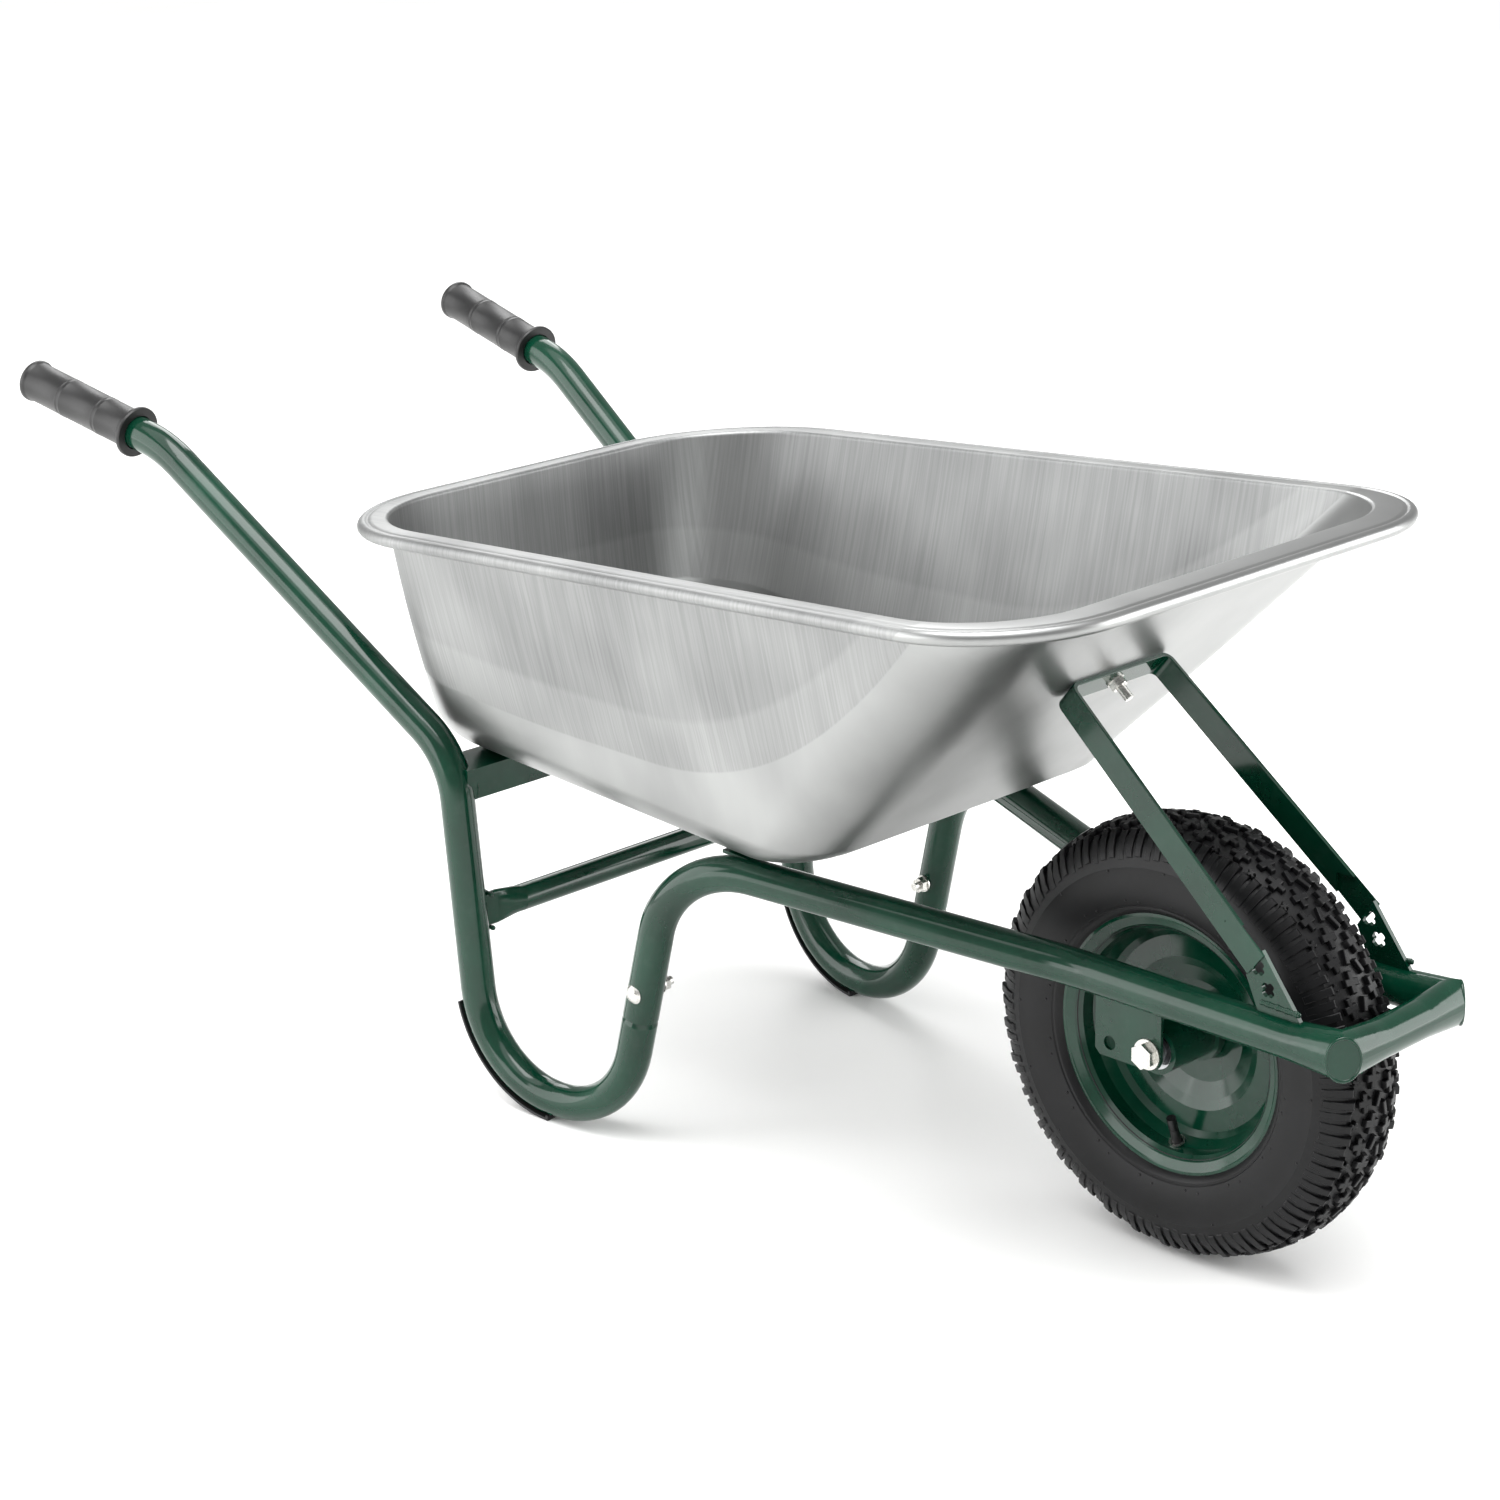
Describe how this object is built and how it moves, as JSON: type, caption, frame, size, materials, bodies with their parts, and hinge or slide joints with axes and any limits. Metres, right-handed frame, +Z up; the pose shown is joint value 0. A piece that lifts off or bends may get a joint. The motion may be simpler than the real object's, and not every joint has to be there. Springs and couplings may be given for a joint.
{
  "type": "wheelbarrow",
  "caption": "Builder's wheelbarrow with a pressed metal tray on a bent tube frame, one pneumatic wheel in front, U-shaped feet and straight grips.",
  "frame": {"origin": "on the ground under the middle of the barrow's length and width", "axes": "+X forward to the wheel, +Y to the user's left, +Z up"},
  "size_m": [1.4462, 0.5792, 0.6204],
  "materials": {
    "green_paint": "glossy powder coat, dark moss green",
    "galvanised": "drawn galvanised sheet, satin, faint draw marks",
    "grip_rubber": "moulded soft vinyl, satin black",
    "skid_plastic": "moulded plastic, matt black",
    "tyre_rubber": "moulded tyre rubber, satin black",
    "tube_rubber": "plain butyl rubber",
    "cap_plastic": "moulded plastic, black",
    "bearing_steel": "ground bearing steel",
    "plain_steel": "turned steel, plain",
    "zinc": "bright zinc plating"
  },
  "bodies": {
    "frame": {"axle_bolt": "zinc", "axle_bracket_left": "green_paint", "axle_bracket_right": "green_paint", "axle_nut": "zinc", "axle_sleeve": "plain_steel", "axle_spacers": "plain_steel", "axle_washers": "zinc", "bearing_inner_rings": "bearing_steel", "cross_brace": "green_paint", "foot_skid_left": "skid_plastic", "foot_skid_right": "skid_plastic", "front_frame": "green_paint", "grip_left": "grip_rubber", "grip_right": "grip_rubber", "leg_bolts": "zinc", "leg_nuts": "zinc", "leg_washers": "zinc", "rear_support": "green_paint", "rear_tube_left": "green_paint", "rear_tube_right": "green_paint", "stay_bolt": "zinc", "stay_bracket_left": "green_paint", "stay_bracket_right": "green_paint", "stay_nut": "zinc", "stay_strap": "green_paint", "stay_washer": "zinc", "tray": "galvanised", "tray_bolts": "zinc", "tray_lug_left": "green_paint", "tray_lug_right": "green_paint", "tray_nuts": "zinc", "tray_washers": "zinc"},
    "wheel": {"bearing_outer_rings": "bearing_steel", "bearing_balls": "bearing_steel", "bearing_shields": "bearing_steel", "hub_tube": "green_paint", "rim_dished_half": "green_paint", "rim_ring_half": "green_paint", "tyre": "tyre_rubber", "inner_tube": "tube_rubber", "valve_stem": "tube_rubber", "valve_cap": "cap_plastic", "valve_washer": "zinc"}
  },
  "joints": [
    {"name": "wheel_spin", "type": "hinge", "parent": "frame", "child": "wheel", "pos_m": [0.5091, 0, 0.1875], "axis": [0, 1, 0], "continuous": true}
  ]
}
